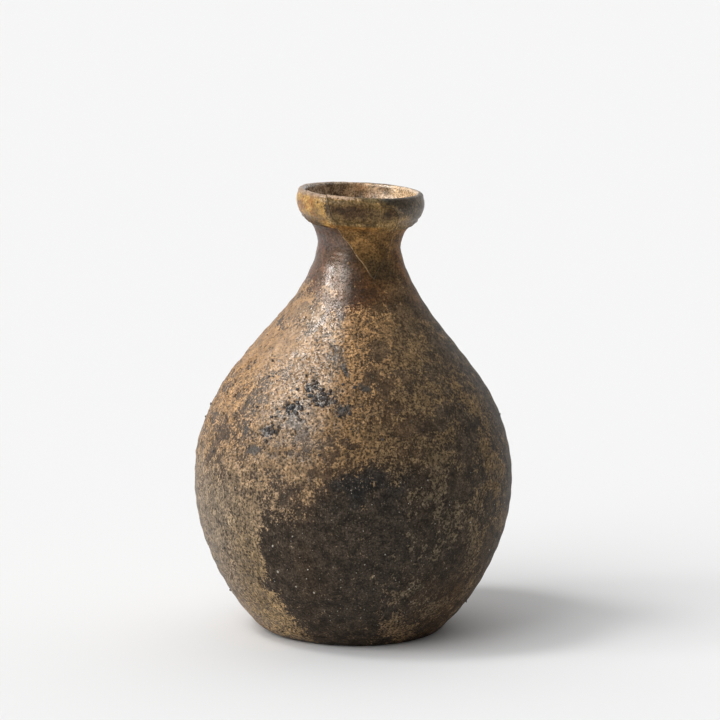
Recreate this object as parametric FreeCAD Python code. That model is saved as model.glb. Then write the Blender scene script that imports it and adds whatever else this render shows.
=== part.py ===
"""A wood-fired stoneware sake bottle (tokkuri), in millimetres.

A round-bellied flask with a pinched neck and a turned-over collar for a mouth. The potter's pieces are a
base slab, the thrown wall and the collar, and one firing joined them. A fragment of the mouth and neck
broke off later and is set back in a lacquer seam. Kiln ash melted over the shoulder on the fire side,
kiln grit stuck to the outside, and feldspar stones stand in the clay.

Frame: +Z up, the foot on z = 0, the origin under the middle of the bounding box, and the front along -Y.
Every outline is drawn as (radius, height) on an upright axis. The whole bottle then leans by LEAN_DEG
towards +X, as it warped in the kiln, and the ground cuts its foot flat.
"""

import FreeCAD
import Part
import math
import os

from FreeCAD import Vector

# Driving dimensions
HEIGHT = 135.0
BELLY_RADIUS = 48.5
FOOT_RADIUS = 26.0
THROAT_RADIUS = 8.8
FLOOR_THICKNESS = 6.0
WALL_THICKNESS = 5.2
NECK_THICKNESS = 4.0
LEAN_DEG = 1.7
SEAM_WIDTH = 0.45
GLAZE_THICKNESS = 0.5

# The outside of the thrown wall, as (radius, height)
FOOT_JOINT = (30.2, 3.0)
COLLAR_JOINT = (15.4, 124.9)
WALL_OUTLINE = [
    FOOT_JOINT,
    (42.4, 20.5),
    (BELLY_RADIUS, 46.0),
    (42.8, 70.6),
    (26.5, 93.0),
    (14.3, 112.0),
    (12.7, 118.8),
    COLLAR_JOINT,
]

# The inside: the cavity meets the slab on a sloping lap joint and closes to the throat in the neck
LAP_JOINT = (24.5, FLOOR_THICKNESS)
CAVITY_HEIGHTS = [12.0, 25.0, 46.0, 70.0, 91.0, 104.0]
THROAT_LOW = (THROAT_RADIUS, 113.0)
THROAT_HIGH = (THROAT_RADIUS, 119.5)
CUP_FOOT = (12.0, 124.6)
CUP_TURN = (10.1, 121.9)

# The base slab is drawn down to below the ground, which then cuts it
SLAB_UNDERSIDE = (FOOT_RADIUS - 3.5, -1.2)
SLAB_HEEL = (FOOT_RADIUS + 1.6, 0.55)

# The collar stands proud of the neck by a small ledge, and its cup narrows to the throat
COLLAR_LEDGE = 0.5
COLLAR_UNDERSIDE = (17.9, 127.0)
COLLAR_BULGE = (19.45, 131.2)
LIP_OUTER = (19.0, 133.7)
LIP_CREST = (17.9, HEIGHT)
LIP_INNER = (16.8, 134.2)
CUP_MIDDLE = (15.6, 129.6)

# The refitted fragment seen from the front, as (x, height), anticlockwise from the lip's left
FRAGMENT_TIP = (4.4, 110.3)
FRAGMENT_OUTLINE = [
    (-10.9, 137.0),
    (-8.2, 126.4),
    FRAGMENT_TIP,
    (8.6, 118.0),
    (11.8, 129.5),
    (9.6, 132.3),
    (6.2, 132.8),
    (5.6, 137.0),
]
FRAGMENT_REACH = 30.0

# The ash fell within a ball about the fire side's shoulder, and melted below the neck
ASH_CENTRE = Vector(-45.0, -20.0, 100.0)
ASH_REACH = 50.0
ASH_TOP = 106.0

# Kiln grit, each a melted clot, as (azimuth, height, half width, rise). Azimuth 0 is the front, 90 is +X
KILN_GRIT = [
    (-50.0, 85.0, 1.2, 1.1),
    (-16.0, 78.0, 2.8, 1.3),
    (-27.0, 79.0, 2.2, 1.2),
    (-28.0, 74.0, 2.4, 1.3),
    (-34.0, 67.5, 2.4, 1.2),
    (-20.0, 73.5, 1.5, 1.0),
    (-41.0, 64.5, 1.6, 1.1),
    (-90.0, 67.5, 1.4, 1.3),
    (-75.0, 74.0, 1.8, 1.1),
    (-128.0, 71.0, 1.9, 1.2),
    (-6.0, 85.5, 1.2, 0.8),
    (-4.5, 74.0, 1.6, 0.6),
    (1.5, 81.0, 1.3, 0.6),
    (88.0, 53.5, 1.1, 0.9),
    (82.0, 10.0, 1.3, 0.9),
    (128.0, 47.0, 1.4, 0.8),
    (171.0, 69.0, 1.5, 0.8),
]

# Feldspar stones, as (azimuth, height, radius)
FELDSPAR_STONES = [
    (-29.5, 25.0, 0.95),
    (-22.4, 21.0, 0.6),
    (-15.0, 19.5, 0.6),
    (-16.6, 27.3, 0.5),
    (-21.7, 37.4, 0.5),
    (-30.0, 33.4, 0.55),
    (12.0, 33.0, 0.5),
    (24.0, 21.0, 0.55),
    (47.0, 40.5, 0.6),
    (66.0, 29.0, 0.55),
    (103.0, 25.0, 0.7),
    (146.0, 38.0, 0.6),
    (-160.0, 31.0, 0.6),
    (-118.0, 17.0, 0.7),
]
STONE_RISE = 0.2

FRONT_ANGLE_DEG = -90.0
HALVINGS = 50
ORIGIN = Vector(0, 0, 0)
UP = Vector(0, 0, 1)
LEAN_AXIS = Vector(0, 1, 0)


def at(pair):
    """A (radius, height) pair as a point of the drawing plane, which is y = 0."""
    return Vector(pair[0], 0, pair[1])


def line(a, b):
    return Part.LineSegment(at(a), at(b)).toShape()


def arc(a, middle, b):
    return Part.Arc(at(a), at(middle), at(b)).toShape()


def smooth_curve(pairs):
    curve = Part.BSplineCurve()
    curve.interpolate([at(p) for p in pairs])
    return curve


def turned(edges):
    """The solid that a closed outline makes when it turns about the axis."""
    return Part.Face(Part.Wire(edges)).revolve(ORIGIN, UP, 360)


def parameter_at(curve, height):
    """The curve's parameter at a height, by halving, because the curve only rises."""
    low = curve.FirstParameter
    high = curve.LastParameter
    for _ in range(HALVINGS):
        middle = (low + high) / 2
        if curve.value(middle).z < height:
            low = middle
        else:
            high = middle
    return low


def beside(curve, height, distance):
    """The point at a distance outside the curve, square to it at a height, as (radius, height)."""
    parameter = parameter_at(curve, height)
    run = curve.tangent(parameter)[0]
    point = curve.value(parameter) + Vector(run.z, 0, -run.x) * distance
    return (point.x, point.z)


def on_wall(curve, azimuth, height, distance):
    """The point at a distance outside the wall, at an azimuth and a height."""
    radius, z = beside(curve, height, distance)
    angle = math.radians(FRONT_ANGLE_DEG + azimuth)
    return Vector(radius * math.cos(angle), radius * math.sin(angle), z)


def make_base_slab():
    return turned(
        [
            line((0, SLAB_UNDERSIDE[1]), SLAB_UNDERSIDE),
            arc(SLAB_UNDERSIDE, SLAB_HEEL, FOOT_JOINT),
            line(FOOT_JOINT, LAP_JOINT),
            line(LAP_JOINT, (0, FLOOR_THICKNESS)),
            line((0, FLOOR_THICKNESS), (0, SLAB_UNDERSIDE[1])),
        ]
    )


def thickness_at(height):
    """The wall thins evenly from the foot to the neck."""
    share = height / HEIGHT
    return WALL_THICKNESS + (NECK_THICKNESS - WALL_THICKNESS) * share


def make_body_wall(outside):
    """The thrown belly, shoulder and neck, from the slab to the collar."""
    cavity = [beside(outside, h, -thickness_at(h)) for h in CAVITY_HEIGHTS]
    return turned(
        [
            outside.toShape(),
            line(COLLAR_JOINT, CUP_FOOT),
            smooth_curve([CUP_FOOT, CUP_TURN, THROAT_HIGH]).toShape(),
            line(THROAT_HIGH, THROAT_LOW),
            smooth_curve([THROAT_LOW] + cavity[::-1] + [LAP_JOINT]).toShape(),
            line(LAP_JOINT, FOOT_JOINT),
        ]
    )


def make_rim_collar():
    """The mouth: a band of clay turned over the neck's top, which ends in a ledge below."""
    ledge = (COLLAR_JOINT[0] + COLLAR_LEDGE, COLLAR_JOINT[1])
    return turned(
        [
            line(COLLAR_JOINT, ledge),
            smooth_curve([ledge, COLLAR_UNDERSIDE, COLLAR_BULGE, LIP_OUTER]).toShape(),
            arc(LIP_OUTER, LIP_CREST, LIP_INNER),
            smooth_curve([LIP_INNER, CUP_MIDDLE, CUP_FOOT]).toShape(),
            line(CUP_FOOT, COLLAR_JOINT),
        ]
    )


def prism(outline):
    """A closed outline seen from the front, pushed from the axis out through the front."""
    points = [at(p) for p in outline]
    face = Part.Face(Part.makePolygon(points + points[:1]))
    return face.extrude(Vector(0, -FRAGMENT_REACH, 0))


def shrunk(outline, distance):
    """The outline with each side moved inwards by a distance."""
    found = []
    for i, here in enumerate(outline):
        before = outline[i - 1]
        after = outline[(i + 1) % len(outline)]
        run_in = (at(here) - at(before)).normalize()
        run_out = (at(after) - at(here)).normalize()
        inward_in = Vector(-run_in.z, 0, run_in.x)
        inward_out = Vector(-run_out.z, 0, run_out.x)
        half = (inward_in + inward_out).normalize()
        corner = at(here) + half * (distance / half.dot(inward_in))
        found.append((corner.x, corner.z))
    return found


def make_ash_glaze(outside):
    """A thin skin of melted ash on the shoulder, bonded to the wall over its whole back."""
    low = ASH_CENTRE.z - ASH_REACH
    heights = [low, 58.0, 70.6, 82.0, 93.0, ASH_TOP]
    back = [beside(outside, h, 0) for h in heights]
    front = [beside(outside, h, GLAZE_THICKNESS) for h in heights]
    first = parameter_at(outside, low)
    last = parameter_at(outside, ASH_TOP)
    band = turned(
        [
            outside.toShape(first, last),
            line(back[-1], front[-1]),
            smooth_curve(front[::-1]).toShape(),
            line(front[0], back[0]),
        ]
    )
    return band.common(Part.makeSphere(ASH_REACH, ASH_CENTRE))


def make_filled_body(outside):
    """The wall's outer shape with no cavity."""
    top = (0, COLLAR_JOINT[1])
    bottom = (0, FOOT_JOINT[1])
    return turned(
        [
            outside.toShape(),
            line(COLLAR_JOINT, top),
            line(top, bottom),
            line(bottom, FOOT_JOINT),
        ]
    )


def make_clot(outside, azimuth, height, half_width, rise):
    """A ball whose cap stands out of the wall by rise and is twice half_width across."""
    radius = (half_width**2 + rise**2) / (2 * rise)
    return Part.makeSphere(radius, on_wall(outside, azimuth, height, rise - radius))


def make_stone(outside, azimuth, height, radius):
    return Part.makeSphere(radius, on_wall(outside, azimuth, height, STONE_RISE - radius))


def group(shapes):
    return Part.makeCompound([solid for shape in shapes for solid in shape.Solids])


def make_nodes():
    """Every node on the upright axis. Neighbours touch face to face."""
    outside = smooth_curve(WALL_OUTLINE)
    slab = make_base_slab()
    wall = make_body_wall(outside)
    collar = make_rim_collar()

    socket = prism(FRAGMENT_OUTLINE)
    core = prism(shrunk(FRAGMENT_OUTLINE, SEAM_WIDTH))
    mouth = wall.fuse(collar).removeSplitter()
    fragment = mouth.common(core)
    seam = mouth.common(socket.cut(core))

    stones = [make_stone(outside, *row) for row in FELDSPAR_STONES]
    wall = wall.cut([socket] + stones)
    collar = collar.cut(socket)

    glaze = make_ash_glaze(outside)
    filled = make_filled_body(outside)
    grit = [make_clot(outside, *row).cut([filled, glaze]) for row in KILN_GRIT]
    return {
        "base_slab": slab,
        "body_wall": wall,
        "rim_collar": collar,
        "mended_fragment": fragment,
        "lacquer_seam": seam,
        "ash_glaze": glaze,
        "kiln_grit": group(grit),
        "feldspar_stones": group(stones),
    }


def stand(nodes):
    """Leans the bottle, cuts its foot flat on z = 0 and centres its bounding box over the origin."""
    for shape in nodes.values():
        shape.rotate(ORIGIN, LEAN_AXIS, LEAN_DEG)
    side = 4 * BELLY_RADIUS
    ground = Part.makeBox(side, side, side, Vector(-side / 2, -side / 2, -side))
    nodes["base_slab"] = nodes["base_slab"].cut(ground)
    box = Part.makeCompound(list(nodes.values())).optimalBoundingBox(False, False)
    shift = Vector(-box.Center.x, -box.Center.y, 0)
    for shape in nodes.values():
        shape.translate(shift)


def main():
    nodes = make_nodes()
    stand(nodes)
    os.makedirs("parts", exist_ok=True)
    for name, shape in nodes.items():
        shape.exportStep(os.path.join("parts", name + ".step"))
        print(f"{name}: {len(shape.Solids)} solids, {shape.Volume:.1f} mm3, valid {shape.isValid()}")


main()
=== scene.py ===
"""A wood-fired stoneware sake bottle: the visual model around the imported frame.

Lengths are millimetres in the bottle's own upright frame, and stood() leans that as the CAD does and gives
metres. An azimuth of 0 is the front (-Y), and 90 is +X. Every surface is the CAD's own outline, found by rays,
plus the unevenness of thrown and wood-fired clay.
"""
import math
import bmesh
import bpy
import numpy as np
from mathutils import Matrix, Vector
from mathutils.bvhtree import BVHTree


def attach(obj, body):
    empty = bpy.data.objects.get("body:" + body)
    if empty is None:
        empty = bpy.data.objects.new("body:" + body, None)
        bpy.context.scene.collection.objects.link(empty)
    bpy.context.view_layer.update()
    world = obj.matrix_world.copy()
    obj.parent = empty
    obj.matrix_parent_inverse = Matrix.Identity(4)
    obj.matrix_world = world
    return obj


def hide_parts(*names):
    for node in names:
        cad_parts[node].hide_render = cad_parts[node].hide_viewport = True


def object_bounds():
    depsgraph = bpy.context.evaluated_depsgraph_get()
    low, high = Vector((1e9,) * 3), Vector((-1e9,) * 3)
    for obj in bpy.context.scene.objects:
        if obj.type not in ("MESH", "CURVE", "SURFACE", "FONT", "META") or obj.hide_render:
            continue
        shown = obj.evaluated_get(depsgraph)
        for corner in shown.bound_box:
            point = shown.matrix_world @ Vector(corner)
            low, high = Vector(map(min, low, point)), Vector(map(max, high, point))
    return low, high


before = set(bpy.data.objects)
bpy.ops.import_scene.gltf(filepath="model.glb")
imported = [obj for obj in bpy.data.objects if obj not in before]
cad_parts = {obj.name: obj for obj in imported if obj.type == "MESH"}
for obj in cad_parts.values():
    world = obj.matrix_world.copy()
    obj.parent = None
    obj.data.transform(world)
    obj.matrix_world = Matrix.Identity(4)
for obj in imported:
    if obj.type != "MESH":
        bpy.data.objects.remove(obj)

CAD_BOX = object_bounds()
MM = 0.001

# ---- The bottle's axis and outline, from the CAD ----


def cad_points(name):
    """A CAD node's vertices, in millimetres in the row frame."""
    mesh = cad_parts[name].data
    flat = np.empty(len(mesh.vertices) * 3)
    mesh.vertices.foreach_get("co", flat)
    return flat.reshape(-1, 3) / MM


def widest_ring_centre(name):
    points = cad_points(name)
    ends = points[[points[:, 0].argmin(), points[:, 0].argmax()]]
    return ends.mean(0) * (1, 0, 1)


LOW_CENTRE = widest_ring_centre("body_wall")
HIGH_CENTRE = widest_ring_centre("rim_collar")
LEAN = math.atan2(HIGH_CENTRE[0] - LOW_CENTRE[0], HIGH_CENTRE[2] - LOW_CENTRE[2])
FOOT_CENTRE = LOW_CENTRE - (math.tan(LEAN) * LOW_CENTRE[2], 0, LOW_CENTRE[2])
TURN = np.array(Matrix.Rotation(LEAN, 3, "Y"))


# The neck bends between these heights, so the mouth is off true by the shift, in mm, and the tilt
SWAY_HEIGHTS = (100, 124)
MOUTH_SHIFT = np.array([-0.35, 0.0, 0.45])
MOUTH_TILT = math.tan(math.radians(1.3))


def stood(points):
    """Upright millimetres to the row frame's metres. Nothing goes underground."""
    share = ramp(points[:, 2], *SWAY_HEIGHTS)
    moved = points + np.outer(share, MOUTH_SHIFT)
    moved[:, 2] -= points[:, 0] * MOUTH_TILT * share
    placed = moved @ TURN.T + FOOT_CENTRE
    placed[:, 2] = np.maximum(placed[:, 2], 0)
    return placed * MM


def upright(points):
    """Row-frame millimetres to upright millimetres."""
    return (points - FOOT_CENTRE) @ TURN


def cad_tree(*names):
    """CAD nodes for rays to meet, in upright millimetres."""
    corners, faces = [], []
    for name in names:
        first = len(corners)
        corners.extend(Vector(p) for p in upright(cad_points(name)))
        faces.extend([first + i for i in f.vertices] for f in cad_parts[name].data.polygons)
    return BVHTree.FromPolygons(corners, faces)


VESSEL = cad_tree("base_slab", "body_wall", "rim_collar")
FAR = 200.0
BACK = Vector((0, 1, 0))


def radius_outside(height):
    hit = VESSEL.ray_cast(BACK * FAR + Vector((0, 0, height)), -BACK)
    return hit[0].y if hit[0] else 0.0


def radius_inside(height):
    hit = VESSEL.ray_cast(Vector((0, 0, height)), BACK)
    return hit[0].y if hit[0] else 0.0


def node_heights(name):
    heights = upright(cad_points(name))[:, 2]
    return heights.min(), heights.max()


SLAB_TOP = node_heights("base_slab")[1]
SLAB_JOINT = node_heights("body_wall")[0]
COLLAR_LEDGE = node_heights("rim_collar")[0]
LIP_CREST = node_heights("rim_collar")[1]
CUP_FOOT = COLLAR_LEDGE + 0.1
NEAR_CREST = LIP_CREST - 0.02
CREST_RADIUS = (radius_outside(NEAR_CREST) + radius_inside(NEAR_CREST)) / 2


def evened(stations, step):
    """A polyline with its points set evenly, about a step apart."""
    stations = np.array(stations)
    runs = np.hypot(*np.diff(stations, axis=0).T)
    along = np.concatenate([[0], np.cumsum(runs)])
    places = np.linspace(0, along[-1], int(along[-1] / step) + 1)
    return np.stack([np.interp(places, along, stations[:, k]) for k in (0, 1)], 1)


def outside_run(low, high, count=400):
    return [(radius_outside(h), h) for h in np.linspace(low, high, count)]


def inside_run(high, low, count=300):
    return [(radius_inside(h), h) for h in np.linspace(high, low, count)]


# ---- Seeded noise on arrays of points ----

TABLE_SIZE = 32
SEED_SHIFT = 0.37
SPREAD = 1.6


def corner_index(cell, corner):
    """Where each point's lattice corner lies in a flat table that repeats."""
    i, j, k = ((cell[:, axis] + corner[axis]) & (TABLE_SIZE - 1) for axis in range(3))
    return (i * TABLE_SIZE + j) * TABLE_SIZE + k


def noise(points, size, seed):
    """Smooth noise from 0 to 1, with features about a size across."""
    table = np.random.default_rng(seed).random(TABLE_SIZE**3)
    scaled = points / size + seed * SEED_SHIFT
    cell = np.floor(scaled).astype(np.int64)
    part = scaled - cell
    part = part * part * (3 - 2 * part)
    shares = [np.stack([1 - part[:, axis], part[:, axis]]) for axis in range(3)]
    total = np.zeros(len(points))
    for corner in np.ndindex(2, 2, 2):
        weight = shares[0][corner[0]] * shares[1][corner[1]] * shares[2][corner[2]]
        total += weight * table[corner_index(cell, corner)]
    return total


def rough(points, size, seed, octaves=4, gain=0.5):
    """Layered noise about 0, mostly between -0.5 and 0.5."""
    total = np.zeros(len(points))
    weight = 0.0
    for k in range(octaves):
        total += gain**k * (noise(points, size / 2**k, seed + k) - 0.5)
        weight += gain**k
    return total / weight * SPREAD


def scattered(points, size, seed):
    """Distance to the nearest of points scattered a size apart, and that point's own number."""
    table = np.random.default_rng(seed).random((TABLE_SIZE**3, 4))
    scaled = points / size
    cell = np.floor(scaled).astype(np.int64)
    part = scaled - cell
    nearest = np.full(len(points), np.inf)
    number = np.zeros(len(points))
    for corner in np.ndindex(3, 3, 3):
        shift = np.array(corner) - 1
        drawn = table[corner_index(cell, shift)]
        distance = ((drawn[:, :3] + shift - part) ** 2).sum(1)
        closer = distance < nearest
        nearest[closer] = distance[closer]
        number[closer] = drawn[closer, 3]
    return np.sqrt(nearest) * size, number


def ramp(value, low, high):
    """A smooth step from 0 at low to 1 at high."""
    share = np.clip((value - low) / (high - low), 0, 1)
    return share * share * (3 - 2 * share)


def mixed(a, b, share):
    """Colours a and b mixed by a share for each point."""
    return a + (np.asarray(b) - a) * np.asarray(share)[:, None]


# ---- Where the fire, the ash and the hand left their marks ----


def azimuth_of(points):
    return np.degrees(np.arctan2(points[:, 0], -points[:, 1]))


def around(azimuths):
    """The outward horizontal direction at each azimuth."""
    angles = np.radians(np.asarray(azimuths) - 90)
    return np.stack([np.cos(angles), np.sin(angles)], 1)


def angle_between(a, b):
    return (a - b + 180) % 360 - 180


def turn_from(points, azimuth):
    """How far round each point lies from an azimuth, either way, in degrees."""
    return np.abs(angle_between(azimuth_of(points), azimuth))


EDGE_WANDER = 3.0


def spot(points, azimuth, height, reach_azimuth, reach_height, seed=0):
    """A patch: 1 at its middle, 0.5 at its reach, and 0 well outside. With a seed its edge is ragged."""
    drift = lift = 0
    if seed:
        drift = rough(points, 9, 300 + seed) * EDGE_WANDER
        lift = rough(points, 7, 340 + seed) * EDGE_WANDER
    across = angle_between(azimuth_of(points) + drift * 2.2, azimuth) / reach_azimuth
    along = (points[:, 2] + lift - height) / reach_height
    return 1 / (1 + (across**2 + along**2) ** 2)


# The scorch's upper edge, as (azimuth, height), and its left edge, as (height, azimuth)
SCORCH_TOP = [(-60, 30), (-38, 40), (-30, 42), (-18, 46), (-10, 51), (-3, 57), (4, 59), (16, 59), (32, 52),
              (60, 44), (90, 20)]
SCORCH_LEFT = [(0, -24), (6, -27), (13, -32), (24, -36), (32, -36.5), (46, -34), (60, -30)]


def scorch_at(points):
    """The charcoal shadow on the lower front, which the flame couldn't reach."""
    azimuth, height = azimuth_of(points), points[:, 2]
    top = np.interp(azimuth, *zip(*SCORCH_TOP)) + rough(points, 7, 11, octaves=5, gain=0.6) * 6.5
    left = np.interp(height, *zip(*SCORCH_LEFT)) + rough(points, 3, 21) * 2.6
    below_top = ramp(top - height, -10.0, 7.0)
    soft = 6 * ramp(26 - height, 0, 16)
    past_left = ramp(azimuth - left, -1.6 - soft, 3.4 + soft)
    fading = 1 - 0.8 * ramp(azimuth + rough(points, 14, 31) * 26, 22, 56)
    return below_top * past_left * fading


# How much ash lies over the front, before it's mottled: (azimuth, share)
ASH_AROUND = [(-180, 0.4), (-150, 0.62), (-110, 0.74), (-30, 0.74), (-14, 0.66), (4, 0.6), (22, 0.51),
              (40, 0.41), (70, 0.26), (120, 0.22), (180, 0.4)]


def glaze_patches(points):
    """Patches where the ash ran thin or melted to dark glass: 0 outside them, 1 inside."""
    drifted = points + np.stack([rough(points, 5, s) for s in (401, 403, 405)], 1) * 5
    shapes = rough(drifted, 6.5, 411, octaves=5, gain=0.62)
    zone = 0.13 * spot(points, -40, 68, 34, 11) + 0.07 * spot(points, -76, 60, 22, 16)
    zone += 0.02 * spot(points, 0, 86, 24, 14)
    zone -= 0.06 * spot(points, -52, 96, 34, 12) + 0.12 * spot(points, -64, 32, 34, 20)
    return ramp(shapes + zone, 0.05, 0.22)


# Pools of blue-black glass under the clots: (azimuth, height, reach in azimuth, reach in height)
POOLS = [
    (-16, 78, 4.6, 1.7), (-22, 80.5, 2.4, 1.3), (-27.7, 73.9, 3.4, 2.0),
    (-34, 67.4, 3.2, 2.2), (-46, 67.3, 1.8, 1.3), (-6, 85.6, 1.7, 1.2),
    (-4.6, 74.2, 3.2, 1.7), (2.0, 81.0, 2.0, 1.2), (-41, 61, 2.6, 1.1),
    (-128, 71, 3.5, 2.2), (171, 69, 3.0, 1.8),
]


def pools_at(points):
    total = np.zeros(len(points))
    for seed, place in enumerate(POOLS, 1):
        total = np.maximum(total, spot(points, *place, seed=seed))
    return ramp(total + rough(points, 2.4, 419, octaves=3) * 0.9, 0.3, 0.85)


def cover_at(points, scorch):
    """How much ash lies on the clay, from 0 to 1."""
    azimuth, height = azimuth_of(points), points[:, 2]
    cover = np.interp(azimuth, *zip(*ASH_AROUND))
    mottled = 1 - ramp(turn_from(points, -75), 50, 85)
    cover += rough(points, 8, 41, octaves=5, gain=0.68) * (0.78 - 0.44 * mottled)
    cover -= 0.42 * glaze_patches(points) + 0.7 * pools_at(points)
    cover -= 0.8 * ramp(height + rough(points, 9, 43) * 10, 100, 118)
    cover -= 0.8 * spot(points, -4, 111, 20, 7, seed=6) + 0.4 * ramp(height, 112, 118)
    cover += 0.4 * spot(points, 22, 44, 15, 9, seed=3) * ramp(rough(points, 4.5, 49), 0.0, 0.2)
    cover += 0.32 * spot(points, 58, 40, 36, 36, seed=4) * ramp(rough(points, 5.5, 53), 0.0, 0.24)
    mottles = ramp(rough(points, 6.5, 433, octaves=5, gain=0.66), 0.04, 0.18)
    cover += 0.4 * spot(points, 38, 34, 30, 30) * mottles
    islands = ramp(rough(points, 3.2, 57), 0.14, 0.26) * ramp(azimuth, -8, 14)
    cover *= 1 - 0.9 * scorch * (1 - np.maximum(0.7 * islands, 0.75 * mottles * ramp(azimuth, 6, 22)))
    return np.clip(cover, 0, 1)


# Base colours, in linear light
IRON_BROWN = (0.085, 0.044, 0.016)
RIGHT_BROWN = (0.058, 0.045, 0.032)
SANDY_BROWN = (0.125, 0.088, 0.05)
MAUVE_GREY = (0.092, 0.058, 0.036)
SCORCHED = (0.038, 0.031, 0.0245)
SMOKE_BLUE = (0.0155, 0.0165, 0.0175)
FOOT_BROWN = (0.048, 0.034, 0.023)
WARM_SCORCH = (0.042, 0.031, 0.022)
MAUVE = (0.072, 0.021, 0.007)
RUST = (0.09, 0.024, 0.003)
DARK_RUST = (0.045, 0.013, 0.001)
AMBER = (0.028, 0.006, 0.0008)
# The clay's amber tone under the collar and on the neck's front, also used as a painted sheen on the neck's
# right edge
HONEY_AND_SHEEN = (0.26, 0.1, 0.018)
# A painted sheen: grey put into the colour where the right edge reflects the room
PAINTED_SHEEN_GREY = (0.07, 0.054, 0.038)
ORANGE_TAN = (0.415, 0.23, 0.096)
TAN = (0.238, 0.144, 0.07)
GREY_TAN = (0.325, 0.246, 0.166)
OCHRE = (0.24, 0.132, 0.05)
PALE_OCHRE = (0.415, 0.228, 0.092)
DARK_OCHRE = (0.17, 0.11, 0.052)
OLIVE_OCHRE = (0.31, 0.205, 0.095)
OLIVE_GREY = (0.113, 0.1, 0.074)
OLIVE = (0.232, 0.148, 0.058)
NECK_OLIVE = (0.19, 0.103, 0.036)
NECK_SMOKE = (0.066, 0.041, 0.018)
NECK_CLOUD = (0.075, 0.045, 0.02)
POOL_BLACK = (0.03, 0.024, 0.02)
GOLD = (0.44, 0.255, 0.075)
ORANGE_SPOT = (0.3, 0.12, 0.03)
BAND_BROWN = (0.044, 0.022, 0.009)
CHARCOAL = (0.03, 0.024, 0.018)
COLLAR_BROWN = (0.105, 0.076, 0.048)
TEAL = (0.06, 0.082, 0.062)
PINK_TAN = (0.4, 0.27, 0.175)
CUP_TAN = (0.3, 0.163, 0.072)
CUP_GREY = (0.235, 0.172, 0.105)
CUP_CLOUD = (0.15, 0.086, 0.044)
THROAT_BROWN = (0.09, 0.055, 0.032)
PEACH = (0.56, 0.38, 0.215)
LACQUER = (0.3, 0.19, 0.09)
LACQUER_WORN = (0.105, 0.066, 0.03)
LACQUER_INSIDE = (0.11, 0.07, 0.04)
LACQUER_FAINT = (0.07, 0.048, 0.024)
GRIT_BLACK = (0.03, 0.031, 0.036)
GRIT_BROWN = (0.06, 0.036, 0.02)
SPECK_PALE = (0.2, 0.165, 0.125)
SPECK_IRON = (0.04, 0.026, 0.018)
SPECK_DARK = (0.06, 0.04, 0.025)
STONE_GREY = (0.34, 0.29, 0.22)
STONE_WHITE = (0.62, 0.57, 0.49)
FLOOR_PALE = (0.8, 0.8, 0.8)

# Strokes of colour on the outside: (tone, azimuth, height, reach in azimuth, reach in height, strength)
CLAY_STROKES = [
    (MAUVE_GREY, -55, 68, 40, 30, 0.8), (MAUVE_GREY, -110, 60, 40, 50, 0.6),
    (RIGHT_BROWN, 62, 62, 42, 40, 0.95), (SANDY_BROWN, 42, 97, 26, 12, 0.8),
    # The grey stroke at azimuth 84 is a painted sheen on the right edge, not the clay's own tone
    (PAINTED_SHEEN_GREY, 84, 84, 26, 26, 0.75), (RUST, 165, 70, 50, 30, 0.35),
    (RUST, -30, 110, 60, 6, 0.85), (MAUVE, -58, 120.0, 44, 4, 0.95),
    (HONEY_AND_SHEEN, -20, 107, 16, 3.5, 0.4), (RUST, 0, 103, 26, 6, 0.6),
    (AMBER, -5, 113, 18, 5, 0.98), (AMBER, 4, 107, 17, 5, 0.9),
    (DARK_OCHRE, 18, 98, 14, 6, 0.5), (DARK_RUST, -24, 123.4, 28, 2.3, 0.98),
    # The honey stroke at azimuth 76 is a painted orange sheen on the neck's right edge
    (OLIVE, 45, 118, 36, 8, 0.7), (HONEY_AND_SHEEN, 76, 113, 14, 12, 0.25),
    (WARM_SCORCH, -30, 24, 12, 34, 0.8),
]
CRUST_STROKES = [
    (ORANGE_TAN, -64, 88, 48, 17, 0.95), (ORANGE_TAN, -78, 62, 34, 12, 0.6),
    (ORANGE_TAN, -30, 101, 40, 8, 0.6), (GREY_TAN, -72, 34, 46, 22, 0.95),
    (OLIVE_OCHRE, -42, 24, 9, 16, 0.7), (OLIVE_OCHRE, -40, 8, 15, 9, 0.95),
    (PALE_OCHRE, 6, 95, 26, 19, 0.9), (OCHRE, 4, 66, 20, 10, 0.8),
    (DARK_OCHRE, 36, 70, 26, 34, 0.95), (OLIVE_GREY, 34, 34, 34, 26, 0.9),
    (DARK_OCHRE, 95, 55, 50, 60, 0.95), (ORANGE_TAN, -140, 80, 35, 22, 0.5),
]


def plain(tone, points):
    return np.tile(tone, (len(points), 1))


def strokes(points, ground, rows):
    colour = plain(ground, points)
    for seed, (tone, *place, strength) in enumerate(rows, 1):
        colour = mixed(colour, tone, strength * spot(points, *place, seed=seed))
    return colour


def neck_right_tone(points):
    """The neck to the right of the break: olive brown above and smoky below, with a painted orange sheen at its
    right edge.
    """
    low = ramp(117.5 - points[:, 2] + rough(points, 4, 81) * 3 + azimuth_of(points) * 0.03, 0, 4)
    tone = mixed(plain(NECK_OLIVE, points), NECK_SMOKE, low)
    # A painted orange sheen on the neck's right edge
    tone = mixed(tone, HONEY_AND_SHEEN, 0.5 * spot(points, 72, 114, 16, 14))
    return mixed(tone, NECK_CLOUD, ramp(rough(points, 7, 83), -0.05, 0.2) * 0.5)


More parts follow.
